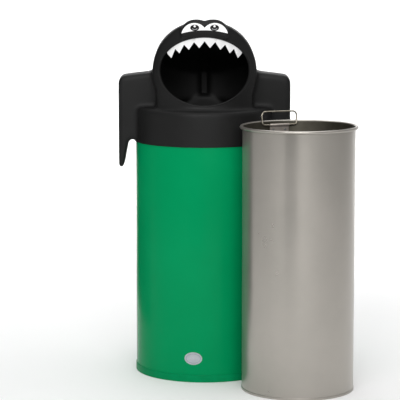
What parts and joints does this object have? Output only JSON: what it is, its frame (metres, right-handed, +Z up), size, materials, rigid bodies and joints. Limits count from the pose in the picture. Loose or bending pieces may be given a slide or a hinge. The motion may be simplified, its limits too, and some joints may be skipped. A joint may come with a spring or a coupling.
{
  "type": "litter bin",
  "caption": "Round steel litter bin with a lift-off moulded hood shaped as an open-mouthed animal head with arms, and a galvanised liner with wire handles standing beside it.",
  "frame": {"origin": "on the ground at the axis of the bin's body, the centre of the ground anchor circle on the base plate's underside", "axes": "+Z up along the body's axis, -Y towards the side that the mouth faces, +X to the right seen from the front"},
  "size_m": [0.7788, 0.7227, 1.1943],
  "materials": {
    "body_paint": "gloss powder coat over rolled steel sheet, green",
    "base_steel": "powder coated steel, darker green",
    "zinc": "bright zinc plated steel",
    "brass": "turned brass",
    "label": "satin aluminium foil label, blank",
    "hood_plastic": "rotationally moulded polyethylene, black, fine satin grain",
    "teeth_plastic": "white plastic sheet, satin",
    "eye_white": "white vinyl film",
    "eye_black": "black vinyl film",
    "galvanised": "hot dip galvanised steel sheet, dull",
    "wire": "galvanised steel wire"
  },
  "bodies": {
    "body": {"body_shell": "body_paint", "foot_ring": "base_steel", "base_plate": "base_steel", "anchor_washers": "zinc", "top_ring": "base_steel", "liner_guides": "zinc", "lock_catch": "zinc", "tongue_keepers": "zinc", "label_plate": "label"},
    "hood": {"hood_shell": "hood_plastic", "teeth_plate": "teeth_plastic", "teeth_screws": "zinc", "eye_film": "eye_white", "pupils": "eye_black", "eye_glints": "eye_white", "hood_tongues": "zinc", "tongue_screws": "zinc", "tongue_inserts": "brass", "lock_barrel": "zinc", "lock_nut": "brass"},
    "lock": {"lock_plug": "zinc", "lock_cam": "zinc", "cam_screw": "zinc"},
    "liner": {"liner_wall": "galvanised", "liner_bottom": "galvanised", "rim_wire": "wire", "rear_clip": "galvanised", "front_clip": "galvanised", "clip_rivets": "zinc"},
    "rear_handle": {"rear_handle": "wire"},
    "front_handle": {"front_handle": "wire"}
  },
  "joints": [
    {"name": "hood_lift", "type": "slide", "parent": "body", "child": "hood", "axis": [0, 0, 1], "range_m": [0, 0.45]},
    {"name": "lock_turn", "type": "hinge", "parent": "hood", "child": "lock", "pos_m": [0, 0.2, 0.8293], "axis": [0, -1, 0], "range_deg": [0, 90]},
    {"name": "liner_lift", "type": "slide", "parent": "body", "child": "liner", "axis": [0, 0, 1], "range_m": [0, 0.45]},
    {"name": "rear_handle_swing", "type": "hinge", "parent": "liner", "child": "rear_handle", "pos_m": [0.24654, -0.14666, 0.846], "axis": [0.9397, 0.342, 0], "range_deg": [0, 180]},
    {"name": "front_handle_swing", "type": "hinge", "parent": "liner", "child": "front_handle", "pos_m": [0.35844, -0.45411, 0.846], "axis": [0.9397, 0.342, 0], "range_deg": [0, 180]}
  ]
}
